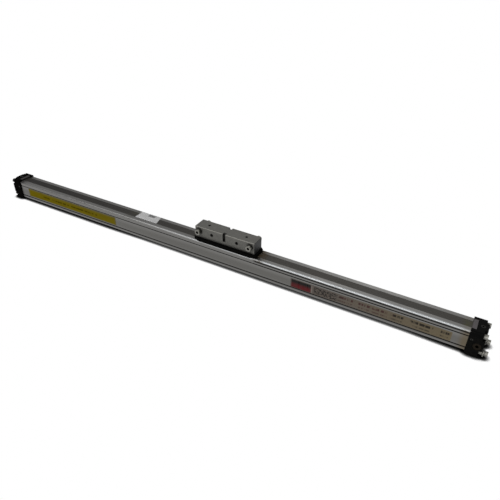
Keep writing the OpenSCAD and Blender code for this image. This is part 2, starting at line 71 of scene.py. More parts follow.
tubeLow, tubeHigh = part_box("barrel")
blockLow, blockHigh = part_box("carriage_block")
yokeLow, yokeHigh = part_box("yoke")
carriageX = (blockLow.x + blockHigh.x) / 2
print("frame loaded, tube", round((tubeHigh.x - tubeLow.x) / mm), "mm long, carriage at",
      round(carriageX / mm, 1), "mm")


# camera: in front and to the right, looking down along the tube
cameraSet = {
    "place": (0.49497, -0.69508, 0.58183),
    "turn": (56.219, -0.585, 29.628),    # degrees
    "lens": 35.82, "sensor": 36.0, "clip": (0.01, 30.0),
}


def makeCamera(s):
    data = bpy.data.cameras.new("camera")
    data.lens = s["lens"]
    data.sensor_width = s["sensor"]
    data.clip_start, data.clip_end = s["clip"]
    camera = bpy.data.objects.new("camera", data)
    scene.collection.objects.link(camera)
    camera.location = s["place"]
    camera.rotation_euler = [math.radians(a) for a in s["turn"]]
    bpy.context.scene.camera = camera


# sRGB hex to the linear colour that the shaders use
def hexColor(text):
    out = []
    for i in (0, 2, 4):
        c = int(text[i:i + 2], 16) / 255
        out.append(c / 12.92 if c <= 0.04045 else ((c + 0.055) / 1.055) ** 2.4)
    return (*out, 1.0)


# adds one node: each input takes a value, a hex colour, an output, or a node for its first output
def addNode(tree, kind, inputs=None, **options):
    node = tree.nodes.new(kind)
    for name, value in options.items():
        setattr(node, name, value)
    for name, value in (inputs or {}).items():
        if isinstance(value, bpy.types.Node):
            value = value.outputs[0]
        if isinstance(value, bpy.types.NodeSocket):
            tree.links.new(value, node.inputs[name])
        else:
            node.inputs[name].default_value = hexColor(value) if isinstance(value, str) else value
    return node


# lamps: a soft box in front, two strips over the tube, and a weak one behind
lampSet = {
    "frontBox": {"place": (0.1, -1.5, 0.62), "aim": (0.05, 0, 0),
                 "size": (2.6, 1.5), "power": 16.0},
    "topStrip": {"place": (0.12, -0.36, 0.95), "aim": (0.3, 0, 0),
                 "size": (0.8, 0.5), "power": 4.2},
    "leftStrip": {"place": (-0.72, -0.3, 0.95), "aim": (-0.1, 0, 0),
                  "size": (0.8, 0.5), "power": 2.8},
    "backBox": {"place": (-0.02, 1.25, 0.95), "aim": (0.25, 0, 0),
                "size": (0.7, 0.4), "power": 0.8},
}


def makeLamps():
    for name, s in lampSet.items():
        data = bpy.data.lights.new(name, "AREA")
        data.shape = "RECTANGLE"
        data.size, data.size_y = s["size"]
        data.energy = s["power"]
        lamp = bpy.data.objects.new(name, data)
        scene.collection.objects.link(lamp)
        lamp.location = s["place"]
        away = Vector(s["aim"]) - Vector(s["place"])
        lamp.rotation_euler = away.to_track_quat("-Z", "Y").to_euler()


# world: white where it is seen, a little softer where it is mirrored, and softer still as fill.
# Its sides are dimmer, each with its level and the X of the direction where it begins and ends.
worldSet = {
    "fill": 0.38, "mirrored": 0.9, "seen": 1.0,
    "sides": [{"level": 0.55, "from": -0.8, "to": -0.1}, {"level": 0.5, "from": 0.9, "to": 0.25}],
}


def makeWorld(s):
    world = bpy.data.worlds.new("studioWhite")
    scene.world = world
    world.use_nodes = True
    tree = world.node_tree
    tree.nodes.clear()
    ray = addNode(tree, "ShaderNodeLightPath").outputs
    seen = addNode(tree, "ShaderNodeMath", {0: ray["Is Camera Ray"], 1: ray["Is Transmission Ray"]},
                   operation="MAXIMUM")
    level = addNode(tree, "ShaderNodeMapRange", {
        "Value": ray["Is Glossy Ray"], "To Min": s["fill"], "To Max": s["mirrored"]})
    toward = addNode(tree, "ShaderNodeTexCoord").outputs["Generated"]
    across = addNode(tree, "ShaderNodeSeparateXYZ", {"Vector": toward}).outputs["X"]
    for side in s["sides"]:
        dim = addNode(tree, "ShaderNodeMapRange", {
            "Value": across, "From Min": side["from"], "From Max": side["to"],
            "To Min": side["level"]})
        level = addNode(tree, "ShaderNodeMath", {0: level, 1: dim}, operation="MULTIPLY")
    soft = addNode(tree, "ShaderNodeBackground", {"Color": "FFFFFF", "Strength": level})
    white = addNode(tree, "ShaderNodeBackground", {"Color": "FFFFFF", "Strength": s["seen"]})
    mix = addNode(tree, "ShaderNodeMixShader", {0: seen, 1: soft, 2: white})
    addNode(tree, "ShaderNodeOutputWorld", {"Surface": mix})


# floor: matt white paper, seen as white, with a painted contact shadow close under the object.
# The shadow reaches so far in m, and farther at both ends, where the tube hangs from the caps.
floorSet = {
    "size": 14.0, "drop": 0.1 * mm, "paper": "E8E8E8", "reach": 0.0062,
    "left": {"from": -0.15, "to": -0.25, "more": 0.0014},
    "right": {"from": 0.42, "to": 0.52, "more": 0.0021},
    "mirroredDepth": 1.5, "seenDepth": 9.0, "samples": 16,
}


def makeFloor(s):
    bpy.ops.object.select_all(action="DESELECT")
    bpy.ops.mesh.primitive_plane_add(size=s["size"], location=(0, 0, cadLow.z - s["drop"]))
    floor = bpy.context.object
    floor.name = "floor"
    material = bpy.data.materials.new("mattWhitePaper")
    material.use_nodes = True
    tree = material.node_tree
    tree.nodes.clear()
    ray = addNode(tree, "ShaderNodeLightPath").outputs
    seen = addNode(tree, "ShaderNodeMath", {0: ray["Is Camera Ray"], 1: ray["Is Glossy Ray"]},
                   operation="MAXIMUM")
    place = addNode(tree, "ShaderNodeTexCoord").outputs["Object"]
    along = addNode(tree, "ShaderNodeSeparateXYZ", {"Vector": place}).outputs["X"]
    reach = s["reach"]
    for end in (s["left"], s["right"]):
        more = addNode(tree, "ShaderNodeMapRange", {
            "Value": along, "From Min": end["from"], "From Max": end["to"], "To Max": end["more"]})
        reach = addNode(tree, "ShaderNodeMath", {0: reach, 1: more}, operation="ADD")
    # painted shadow: occlusion darkens the white, more for the camera than in reflections
    near = addNode(tree, "ShaderNodeAmbientOcclusion", {"Distance": reach}, samples=s["samples"])
    depth = addNode(tree, "ShaderNodeMapRange", {
        "Value": ray["Is Camera Ray"], "To Min": s["mirroredDepth"], "To Max": s["seenDepth"]})
    shade = addNode(tree, "ShaderNodeMath", {0: near.outputs["AO"], 1: depth}, operation="POWER")
    paper = addNode(tree, "ShaderNodeBsdfDiffuse", {"Color": s["paper"]})
    white = addNode(tree, "ShaderNodeEmission", {"Color": "FFFFFF", "Strength": shade})
    mix = addNode(tree, "ShaderNodeMixShader", {0: seen, 1: paper, 2: white})
    addNode(tree, "ShaderNodeOutputMaterial", {"Surface": mix})
    floor.data.materials.append(material)


scene.view_settings.view_transform = "Standard"
makeCamera(cameraSet)
makeLamps()
makeWorld(worldSet)
makeFloor(floorSet)
print("camera, lamps, world and floor made")


# materials, each under the name of its finish
finishes = {}
far = 999.0    # mm, past the end of every piece


def startMaterial(name):
    material = bpy.data.materials.new(name)
    finishes[name] = material
    material.use_nodes = True
    tree = material.node_tree
    tree.nodes.clear()
    place = addNode(tree, "ShaderNodeTexCoord").outputs["Object"]
    axes = addNode(tree, "ShaderNodeSeparateXYZ", {"Vector": place}).outputs
    out = addNode(tree, "ShaderNodeMath", {0: axes["Y"]}, operation="ABSOLUTE")
    return tree, place, {"x": axes["X"], "y": axes["Y"], "z": axes["Z"], "out": out}


def endMaterial(tree, inputs):
    shader = addNode(tree, "ShaderNodeBsdfPrincipled", inputs)
    addNode(tree, "ShaderNodeOutputMaterial", {"Surface": shader})


# noise in cells so many mm long along X, Y and Z, spread from 0 to 1 between two of its levels
def cloud(tree, place, cell, levels=(0.35, 0.65), detail=3.0, rough=0.5):
    size = addNode(tree, "ShaderNodeMapping", {
        "Vector": place, "Scale": [1 / (c * mm) for c in cell]})
    noise = addNode(tree, "ShaderNodeTexNoise", {
        "Vector": size, "Scale": 1.0, "Detail": detail, "Roughness": rough})
    return addNode(tree, "ShaderNodeMapRange", {
        "Value": noise.outputs["Fac"], "From Min": levels[0], "From Max": levels[1]})


# How much of a mark shows at each point: its share, times other masks, within its stretches. A
# stretch along x, y, z, or out from the middle plane to both sides, is four places in mm: where the
# mark starts, where it is full, where it begins to fade, and where it ends.
def markMask(tree, axes, mark, *masks):
    shown = mark["share"]
    for mask in masks:
        shown = addNode(tree, "ShaderNodeMath", {0: shown, 1: mask}, operation="MULTIPLY")
    for axis in axes:
        if axis in mark:
            starts, full, fades, ends = (v * mm for v in mark[axis])
            rise = addNode(tree, "ShaderNodeMapRange", {
                "Value": axes[axis], "From Min": starts, "From Max": full, "To Max": shown})
            shown = addNode(tree, "ShaderNodeMapRange", {
                "Value": axes[axis], "From Min": ends, "From Max": fades, "To Max": rise})
    return shown


# paints a mark over a colour. A Mix of colours has its factor at 0, the two colours at 6 and 7, and
# its result at 2.
def addMark(tree, axes, color, mark, *masks):
    shown = markMask(tree, axes, mark, *masks)
    return addNode(tree, "ShaderNodeMix", {0: shown, 6: color, 7: mark["color"]},
                   data_type="RGBA").outputs[2]


# 1 inside a round hole, where across is 1 for the two axes that cross it and 0 for the one along it
def holeMask(tree, place, centre, across, radius, soft):
    back = [-c * a * mm for c, a in zip(centre, across)]
    moved = addNode(tree, "ShaderNodeMapping", {"Vector": place, "Scale": across, "Location": back})
    away = addNode(tree, "ShaderNodeVectorMath", {0: moved}, operation="LENGTH").outputs["Value"]
    return addNode(tree, "ShaderNodeMapRange", {
        "Value": away, "From Min": (radius + soft) * mm, "From Max": (radius - soft) * mm})


# darkens the corners, holes and sockets of a piece with painted shade, from ambient occlusion
def addCavityShade(tree, color, s):
    near = addNode(tree, "ShaderNodeAmbientOcclusion", {"Distance": s["reach"] * mm},
                   samples=s["samples"])
    clear = addNode(tree, "ShaderNodeMath", {0: near.outputs["AO"], 1: s["depth"]},
                    operation="POWER")
    return addNode(tree, "ShaderNodeMix", {0: clear, 6: s["color"], 7: color},
                   data_type="RGBA").outputs[2]


# grease left by the scrapers and at the ends of the stroke, with its share on the bands and, as
# onTube, on the tube's top
greaseSet = {
    "patch": {"cell": (14, 9, 9), "levels": (0.3, 0.6), "detail": 4.0},
    "tubeTop": (41.5, 43.5, far, far + 1),
    "marks": [
        {"x": (116, 128, 136, 148), "color": "3A2F1E", "share": 0.9, "onTube": 0.8},
        {"x": (498, 508, 508, 518), "color": "43422A", "share": 0.8, "onTube": 0.15},
        {"x": (-536, -520, -516, -500), "color": "1F1C18", "share": 0.95, "onTube": 0.85},
        {"x": (-200, -188, -182, -170), "color": "403F30", "share": 0.3, "onTube": 0.3},
    ],
}


def addGrease(tree, place, axes, color, onTube):
    patch = cloud(tree, place, **greaseSet["patch"])
    for mark in greaseSet["marks"]:
        if onTube:
            mark = dict(mark, share=mark["onTube"], z=greaseSet["tubeTop"])
        color = addMark(tree, axes, color, mark, patch)
    return color


# Anodised aluminium extrusion: a satin grey with die lines along it and small handling marks, with
# painted shade in the grooves, a painted highlight on the front shoulder and painted dark
# reflection lines near the top of the front. The real die lines are too fine to show, so they are
# drawn 0.6 mm apart.
tubeSet = {
    "color": "777674", "roughness": (0.25, 0.39),
    "lines": {"cell": (220, 0.6, 0.6), "levels": (0.3, 0.7), "detail": 2.0},
    "handled": {"cell": (60, 14, 14), "levels": (0.35, 0.7), "detail": 5.0, "rough": 0.6},
    "bump": {"Strength": 0.03, "Distance": 0.02 * mm},
    "dullLines": {"color": "6B6A68", "share": 0.55},
    "dullHands": {"color": "6B6A68", "share": 0.5},
    # painted shade in the grooves, behind the front and rear faces, but not on the round top edges
    "grooveShade": {"color": "2E2D2B", "share": 0.9, "out": (-2, -1, 18.3, 18.9),
             "z": (6.3, 6.8, 42.2, 42.8)},
    "dullMiddle": {"color": "5F5E5B", "share": 0.8, "z": (9, 17, 25, 33)},
    # painted highlight along the front shoulder, strongest on the right half
    "shoulderHighlight": {"color": "97999A", "share": 1.0, "y": (-far - 1, -far, -16.2, -14.8),
             "z": (42.6, 43.6, far, far + 1)},
    "highlightAlong": {"From Min": -160 * mm, "From Max": 160 * mm, "To Min": 0.15},
    "highlightRoughness": 0.12,
    # old grease run down at the right end, from the shoulder to the foot
    "grease": {"color": "5E5138", "share": 0.6, "x": (499, 509, 515, 525), "z": (3, 7, 42, 46)},
    # painted dark reflections: two lines near the top of the front, right of the carriage
    "darkReflectionLines": [
        {"color": "161514", "share": 0.95, "x": (122, 128, 517, 523),
         "z": (38.8, 40.4, 42.1, 43.7)},
        {"color": "161514", "share": 0.85, "x": (122, 128, 517, 523),
         "z": (33.7, 34.7, 35.8, 36.8)},
    ],
    # painted shade along the lower groove
    "dustAndShade": {"color": "2E2D2B", "share": 0.62, "z": (8.3, 9.7, 11.8, 13.2)},
}


def makeExtrusion(s):
    tree, place, axes = startMaterial("anodisedExtrusion")
    lines = cloud(tree, place, **s["lines"])
    handled = cloud(tree, place, **s["handled"])
    along = addNode(tree, "ShaderNodeMapRange", {"Value": axes["x"], **s["highlightAlong"]})
    color = addMark(tree, axes, s["color"], s["dullLines"], lines)
    color = addMark(tree, axes, color, s["dullHands"], handled)
    color = addMark(tree, axes, color, s["grooveShade"])
    color = addMark(tree, axes, color, s["dullMiddle"])
    # painted highlight on the front shoulder
    color = addMark(tree, axes, color, s["shoulderHighlight"], along)
    # a grease stain, the painted dark reflections and the painted shade of the lower groove
    for mark in (s["grease"], *s["darkReflectionLines"], s["dustAndShade"]):
        color = addMark(tree, axes, color, mark)
    color = addGrease(tree, place, axes, color, True)
    least, most = s["roughness"]
    rough = addNode(tree, "ShaderNodeMapRange", {"Value": handled, "To Min": least, "To Max": most})
    shoulderHighlight = markMask(tree, axes, dict(s["shoulderHighlight"], share=s["highlightRoughness"]), along)
    rough = addNode(tree, "ShaderNodeMath", {0: rough, 1: shoulderHighlight}, operation="ADD")
    bump = addNode(tree, "ShaderNodeBump", {"Height": lines, **s["bump"]})
    endMaterial(tree, {"Metallic": 1.0, "Base Color": color, "Roughness": rough, "Normal": bump})


# Dark cover strip: a smooth plastic skin on steel, rubbed grey along its length, with a little oil
# film, and painted light that makes it paler toward the right end
stripSet = {
    "color": "161514", "roughness": (0.44, 0.3), "sheen": 0.07,
    "rubs": {"cell": (160, 0.9, 0.9), "levels": (0.35, 0.75)},
    "film": {"cell": (45, 7, 7), "levels": (0.4, 0.7), "detail": 4.0},
    "bump": {"Strength": 0.08, "Distance": 0.03 * mm},
    # painted light: paler toward the right end
    "paintedLightRight": {"color": "403E3B", "share": 1.0, "x": (-400, 300, far, far + 1)},
    "rubbed": {"color": "45423E", "share": 0.4},
}


def makeCoverStrip(s):
    tree, place, axes = startMaterial("darkCoverStrip")
    rubs = cloud(tree, place, **s["rubs"])
    film = cloud(tree, place, **s["film"])
    color = addMark(tree, axes, s["color"], s["paintedLightRight"])
    color = addMark(tree, axes, color, s["rubbed"], rubs)
    color = addGrease(tree, place, axes, color, False)
    dry, oiled = s["roughness"]
    rough = addNode(tree, "ShaderNodeMapRange", {"Value": film, "To Min": dry, "To Max": oiled})
    bump = addNode(tree, "ShaderNodeBump", {"Height": rubs, **s["bump"]})
    endMaterial(tree, {"Specular IOR Level": s["sheen"], "Base Color": color, "Roughness": rough,
                       "Normal": bump})


# Cast aluminium, blasted: matt grey with a grain, faint rub marks and painted shade in its corners.
# The grain is drawn 0.5 mm wide, coarser than the real one, so that it shows.
castSet = {
    "metallic": 0.35, "roughness": (0.55, 0.43),
    "grain": {"cell": (0.5, 0.5, 0.5), "levels": (0.3, 0.7), "detail": 2.0},
    "patch": {"cell": (22, 12, 12), "levels": (0.35, 0.7), "detail": 5.0, "rough": 0.6},
    "rub": {"cell": (9, 1.2, 1.2), "levels": (0.55, 0.75)},
    "bump": {"Strength": 0.3, "Distance": 0.04 * mm},
    "shadeShare": 0.6, "rubShare": 0.5,
    # painted shade in corners, holes and sockets
    "cavityShade": {"color": "0C0B09", "reach": 4, "depth": 2.4, "samples": 8},
}
castColors = {
    "blastedCasting": {"color": "52514D", "shade": "484743", "rubbed": "63625C"},
    "dieCastYoke": {"color": "6E6E6C", "shade": "5E5E5A", "rubbed": "7C7C7A"},
    "greyClamp": {"color": "4A4647", "shade": "3E3A3B", "rubbed": "545050"},
    "oiledClamp": {"color": "1C1716", "shade": "161210", "rubbed": "24201D"},
}

# painted light and shade on the carriage block, placed from its own box
leftX, rightX, middleX = blockLow.x / mm, blockHigh.x / mm, carriageX / mm
sideY, topZ = blockHigh.y / mm, blockHigh.z / mm
blockPaintedLight = [
    # painted shade: the two ends darker
    {"color": "0C0D0F", "share": 0.97, "x": (-far - 1, -far, leftX + 0.2, leftX + 0.6)},
    {"color": "0C0D0F", "share": 0.97, "x": (rightX - 0.6, rightX - 0.2, far, far + 1)},
    # painted highlight along the upper front and rear edges
    {"color": "7C7A74", "share": 0.6, "out": (sideY - 1.3, sideY - 0.7, sideY + 0.7, sideY + 1.3),
     "z": (topZ - 1.3, topZ - 0.7, topZ + 0.7, topZ + 1.3)},
    # painted shade in the two side slots, behind the front and rear faces
    {"color": "0C0B09", "share": 0.72,
     "x": (middleX - 3.8, middleX - 3.4, middleX + 3.4, middleX + 3.8),
     "out": (sideY - 7.3, sideY - 6.7, sideY - 0.8, sideY - 0.2)},
]
# painted shade in and round the mouths of the threaded holes and of the holes that run through
blockHoles = [
    {"centre": (middleX - 42, 0, 0), "across": (1, 1, 0), "radius": 3.0, "soft": 0.5},
    {"centre": (middleX + 42, 0, 0), "across": (1, 1, 0), "radius": 3.0, "soft": 0.5},
    {"centre": (middleX - 28.3, 0, 65), "across": (1, 0, 1), "radius": 3.5, "soft": 0.5},
    {"centre": (middleX + 28.3, 0, 65), "across": (1, 0, 1), "radius": 3.5, "soft": 0.5},
]
# painted shade for the holes above
holeShade = {"color": "0C0B09", "share": 0.9}


def makeCast(name, s, colors):
    tree, place, axes = startMaterial(name)
    grain = cloud(tree, place, **s["grain"])
    patch = cloud(tree, place, **s["patch"])
    rub = cloud(tree, place, **s["rub"])
    shade = {"color": colors["shade"], "share": s["shadeShare"]}
    rubbed = {"color": colors["rubbed"], "share": s["rubShare"]}
    color = addMark(tree, axes, colors["color"], shade, patch)
    color = addMark(tree, axes, color, rubbed, rub)
    if name == "blastedCasting":
        for mark in blockPaintedLight:
            color = addMark(tree, axes, color, mark)
        for hole in blockHoles:
            color = addMark(tree, axes, color, holeShade, holeMask(tree, place, **hole))
    color = addCavityShade(tree, color, s["cavityShade"])
    dull, smooth = s["roughness"]
    rough = addNode(tree, "ShaderNodeMapRange", {"Value": rub, "To Min": dull, "To Max": smooth})
    bump = addNode(tree, "ShaderNodeBump", {"Height": grain, **s["bump"]})
    endMaterial(tree, {"Metallic": s["metallic"], "Base Color": color, "Roughness": rough,
                       "Normal": bump})


# Coated castings, moulded plastic and rubber: a grain of about half a millimetre, coarser than the
# real one so that it shows, thin dust in patches, and a low sheen. Dust and oil dull the black ones,
# so their sheen and IOR are lower than those of a clean part.
plasticSet = {
    "grain": {"levels": (0.3, 0.7), "detail": 2.0},
    "dustAndShade": {"cell": (11, 8, 8), "levels": (0.45, 0.75), "detail": 6.0, "rough": 0.65},
    "dustRoughness": 0.15, "bump": {"Strength": 0.35, "Distance": 0.05 * mm},
}
plasticColors = {
    "blackCoatedCasting": {"color": "070707", "dustAndShade": "141311", "share": 0.5, "roughness": 0.42,
                           "grain": 0.6, "sheen": 0.15, "ior": 1.15},
    # painted shade: a darker, less glossy copy of the coated casting, for the left end
    "shadedBlackCasting": {"color": "050504", "dustAndShade": "100E0B", "share": 0.5, "roughness": 0.5,
                          "grain": 0.6, "sheen": 0.05, "ior": 1.1},
    "blackMoulding": {"color": "060606", "dustAndShade": "0E0D0C", "share": 0.5, "roughness": 0.48,
                      "grain": 0.5, "sheen": 0.1, "ior": 1.1},
    "blackRubber": {"color": "0E0E0E", "dustAndShade": "1A1A1A", "share": 0.4, "roughness": 0.7,
                    "grain": 0.4, "sheen": 0.4, "ior": 1.3},
    "tanBearingPlastic": {"color": "A8946C", "dustAndShade": "8F7D58", "share": 0.5, "roughness": 0.5,
                          "grain": 0.4, "sheen": 0.5, "ior": 1.45},
}


def makePlastic(name, s, colors):
    tree, place, axes = startMaterial(name)
    grain = cloud(tree, place, (colors["grain"],) * 3, **s["grain"])
    dustAndShade = cloud(tree, place, **s["dustAndShade"])
    dusty = {"color": colors["dustAndShade"], "share": colors["share"]}
    color = addMark(tree, axes, colors["color"], dusty, dustAndShade)
    least, most = colors["roughness"], colors["roughness"] + s["dustRoughness"]
    rough = addNode(tree, "ShaderNodeMapRange", {"Value": dustAndShade, "To Min": least, "To Max": most})
    bump = addNode(tree, "ShaderNodeBump", {"Height": grain, **s["bump"]})
    endMaterial(tree, {"Specular IOR Level": colors["sheen"], "IOR": colors["ior"],
                       "Base Color": color, "Roughness": rough, "Normal": bump})


# Screws, washers and strip: plated, oxidised or rolled steel, with dull spots and a tint of old oil
steelSet = {
    "spots": {"cell": (1.6, 1.6, 1.6), "levels": (0.45, 0.7), "detail": 4.0},
    "film": {"cell": (5, 5, 5), "levels": (0.4, 0.7)},
    "spotShare": 0.7, "filmShare": 0.35, "spotRoughness": 0.18,
    # painted shade fills the key sockets of the block's side screws, so far from its middle
    "socketX": 57.5, "socketZ": 66.4, "socket": {"across": (1, 0, 1), "radius": 2.5, "soft": 0.3},
    "socketShade": {"color": "080706", "share": 1.0},
    # painted shade in corners, holes and sockets
    "cavityShade": {"color": "080706", "reach": 5, "depth": 3.0, "samples": 8},
}
steelColors = {
    "platedSteel": {"color": "807F7A", "spot": "62615B", "film": "6A6A5C", "roughness": 0.26},
    "rolledStripSteel": {"color": "A6A6A4", "spot": "8E8E8C", "film": "96968E", "roughness": 0.22},
    "darkPlugSteel": {"color": "1F1B16", "spot": "161310", "film": "1C1813", "roughness": 0.4},
    "blackOxideSteel": {"color": "22211F", "spot": "181715", "film": "1C1A17", "roughness": 0.36},
    "blackScrewSteel": {"color": "3A3A38", "spot": "262625", "film": "2E2D2A", "roughness": 0.32},
}


def makeSteel(name, s, colors):
    tree, place, axes = startMaterial(name)
    spots = cloud(tree, place, **s["spots"])
    film = cloud(tree, place, **s["film"])
    spotted = {"color": colors["spot"], "share": s["spotShare"]}
    filmed = {"color": colors["film"], "share": s["filmShare"]}
    color = addMark(tree, axes, colors["color"], spotted, spots)
    color = addMark(tree, axes, color, filmed, film)
    for x in (middleX - s["socketX"], middleX + s["socketX"]):
        socket = holeMask(tree, place, (x, 0, s["socketZ"]), **s["socket"])
        color = addMark(tree, axes, color, s["socketShade"], socket)
    color = addCavityShade(tree, color, s["cavityShade"])
    least, most = colors["roughness"], colors["roughness"] + s["spotRoughness"]
    rough = addNode(tree, "ShaderNodeMapRange", {"Value": spots, "To Min": least, "To Max": most})
    endMaterial(tree, {"Metallic": 1.0, "Base Color": color, "Roughness": rough})


makeExtrusion(tubeSet)
makeCoverStrip(stripSet)
for name, colors in castColors.items():
    makeCast(name, castSet, colors)
for name, colors in plasticColors.items():
    makePlastic(name, plasticSet, colors)
for name, colors in steelColors.items():
    makeSteel(name, steelSet, colors)

# the finish of each material slot, and of the nodes that differ from theirs
finishOfSlot = {
    "tube_aluminium": "anodisedExtrusion", "block_aluminium": "blastedCasting",
    "yoke_aluminium": "dieCastYoke", "cap_black": "blackCoatedCasting",
    "black_plastic": "blackMoulding", "band_plastic": "darkCoverStrip",
    "bearing_plastic": "tanBearingPlastic", "rubber": "blackRubber",
    "steel": "platedSteel", "plug_steel": "darkPlugSteel",
}
finishOfNode = {
    "left_clamp_screw": "blackOxideSteel", "right_clamp_screw": "blackOxideSteel",
    "left_cushion_screw": "blackScrewSteel", "right_cushion_screw": "blackScrewSteel",
    "left_cap_screws": "blackOxideSteel", "left_port_plugs": "shadedBlackCasting",
    "left_end_cap": "shadedBlackCasting", "left_band_clamp": "oiledClamp",
    "right_band_clamp": "greyClamp", "inner_band": "rolledStripSteel",
}


def setFinish(piece, name):
    piece.data.materials.clear()
    piece.data.materials.append(finishes[name])


for part in frame["record"]["subparts"]:
    node = part["node"]
    setFinish(nodes[node], finishOfNode.get(node, finishOfSlot[part["material_slot"]]))
print("finishes given to", len(nodes), "nodes")


# small helpers for modelling by hand
bevelSteps = 2


# back in object mode, with this piece alone selected
def takeUp(piece):
    if bpy.context.object and bpy.context.object.mode != "OBJECT":
        bpy.ops.object.mode_set(mode="OBJECT")
    bpy.ops.object.select_all(action="DESELECT")
    if piece:
        piece.select_set(True)
        bpy.context.view_layer.objects.active = piece


def addBox(name, low, high):
    takeUp(None)
    middle = [(a + b) / 2 for a, b in zip(low, high)]
    bpy.ops.mesh.primitive_cube_add(size=1, location=middle)
    piece = bpy.context.object
    piece.name = name
    piece.scale = [b - a for a, b in zip(low, high)]
    bpy.ops.object.transform_apply(location=True, rotation=True, scale=True)
    return piece


# rounds all edges of a piece that are sharper than so many degrees
def bevelPiece(piece, width, angle):
    takeUp(piece)
    modifier = piece.modifiers.new("bevel", "BEVEL")
    modifier.width = width
    modifier.segments = bevelSteps
    modifier.limit_method = "ANGLE"
    modifier.angle_limit = math.radians(angle)
    bpy.ops.object.modifier_apply(modifier=modifier.name)


# picks edges of a piece, by a test on their two ends, and goes into edit mode
def pickEdges(piece, test):
    takeUp(piece)
    bpy.ops.object.mode_set(mode="EDIT")
    bpy.ops.mesh.select_mode(type="EDGE")
    bpy.ops.mesh.select_all(action="DESELECT")
    bpy.ops.object.mode_set(mode="OBJECT")
    mesh = piece.data
    for e in mesh.edges:
        e.select = test(mesh.vertices[e.vertices[0]].co, mesh.vertices[e.vertices[1]].co)
    bpy.ops.object.mode_set(mode="EDIT")


# finishes a piece: its place goes into its mesh, and it gets its material and, when one is given,
# its body
def settle(piece, finish, body=None):
    takeUp(piece)
    bpy.ops.object.transform_apply(location=True, rotation=True, scale=True)
    setFinish(piece, finish)
    if body:
        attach(piece, body)


# bands: a flat stretch on each side, and a bow that passes over or under the yoke
bandSet = [
    {"name": "coverBand", "node": "outer_band", "finish": "darkCoverStrip", "slot": "band_plastic",
     "thick": 1.1 * mm, "up": True, "edge": 0.3 * mm},
    {"name": "sealBand", "node": "inner_band", "finish": "rolledStripSteel", "slot": "steel",
     "thick": 0.8 * mm, "up": False, "edge": 0.2 * mm},
]
bowSet = {"past": 1 * mm, "ramp": 16 * mm, "steps": 16, "bevelAngle": 50, "smoothAngle": 35}
bowFlat = (yokeHigh.x - yokeLow.x) / 2 + bowSet["past"]    # half the length held up over the yoke
bowEnd = bowFlat + bowSet["ramp"]


# how much of its full rise the bow has at a place along the tube, in a smooth ramp
def bowShare(x):
    away = abs(x - carriageX)
    return (1 + math.cos(math.pi * min(max((away - bowFlat) / (bowEnd - bowFlat), 0), 1))) / 2


def makeBow(s, low, high, rise, flatZ):
    x0 = carriageX - bowEnd
    steps = bowSet["steps"]
    ramp = [bowFlat + (bowEnd - bowFlat) * i / steps for i in range(steps + 1)]
    stations = [carriageX - r for r in reversed(ramp)] + [carriageX + r for r in ramp]
    takeUp(None)
    bpy.ops.mesh.primitive_plane_add(size=1, rotation=(0, math.radians(90), 0),
                                     location=(x0, 0, flatZ + s["thick"] / 2))
    bow = bpy.context.object
    bow.name = s["name"] + "Bow"
    bow.scale = (s["thick"], high.y - low.y, 1)
    bpy.ops.object.transform_apply(location=True, rotation=True, scale=True)
    bpy.ops.object.mode_set(mode="EDIT")
    bpy.ops.mesh.select_all(action="SELECT")
    for a, b in zip(stations[:-1], stations[1:]):
        step = (b - a, 0, rise * (bowShare(b) - bowShare(a)))
        bpy.ops.mesh.extrude_region_move(TRANSFORM_OT_translate={"value": step})
    bpy.ops.mesh.select_all(action="SELECT")
    bpy.ops.mesh.normals_make_consistent(inside=False)
    bpy.ops.object.mode_set(mode="OBJECT")
    return bow


def makeBands():
    for s in bandSet:
        low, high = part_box(s["node"])
        rise = high.z - low.z - s["thick"]
        flatZ = low.z if s["up"] else high.z - s["thick"]
        rise = rise if s["up"] else -rise
        bow = makeBow(s, low, high, rise, flatZ)
        bevelPiece(bow, s["edge"], bowSet["bevelAngle"])
        bpy.ops.object.shade_smooth_by_angle(angle=math.radians(bowSet["smoothAngle"]))
        settle(bow, s["finish"], "carriage")
        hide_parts(s["node"])
        # a flat stretch has points at its two ends only, so that it grows and shrinks evenly
        for side, x0, x1 in (("Left", low.x, carriageX - bowEnd),
                             ("Right", carriageX + bowEnd, high.x)):
            flat = addBox(s["name"] + side, (x0, low.y, flatZ), (x1, high.y, flatZ + s["thick"]))
            pickEdges(flat, lambda a, b: abs(a.x - b.x) > 1 * mm)
            bpy.ops.mesh.bevel(offset=s["edge"], segments=bevelSteps, affect="EDGES")
            bpy.ops.object.mode_set(mode="OBJECT")
            settle(flat, s["finish"])
            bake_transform(flat)
            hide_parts(s["node"])


makeBands()
print("bands made")


# Yellow foil: a dull metallic yellow, worn thin to the metal along its edges and in small nicks
foilSet = {
    "x": (-497, -222), "z": (14.2, 33.6), "corner": 1.5, "finish": "yellowFoil",
    "bare": "5E5736", "tint": "E6DCA8", "roughness": (0.34, 0.46),
    "wave": {"cell": (30, 5, 5), "levels": (0.3, 0.7), "detail": 4.0},
    "fleck": {"cell": (2.4, 2.4, 1.3), "levels": (0.62, 0.72)},
    "stroke": {"cell": (3.2, 40, 60), "levels": (0.42, 0.52), "detail": 1.0},
    "yellow": {"color": "625718", "share": 1.0, "x": (-496, -492, -227, -223),
               "z": (14.2, 16.2, 29.2, 31.2)},
    "waves": {"color": "564B14", "share": 0.5},
    "flecks": {"color": "332C06", "share": 0.55},
    # a long faint row of rubbed strokes, with nothing to read in it
    "row": {"color": "2A2408", "share": 0.8, "x": (-451, -447, -279, -275),
            "z": (21.1, 22.1, 24.7, 25.7)},
}


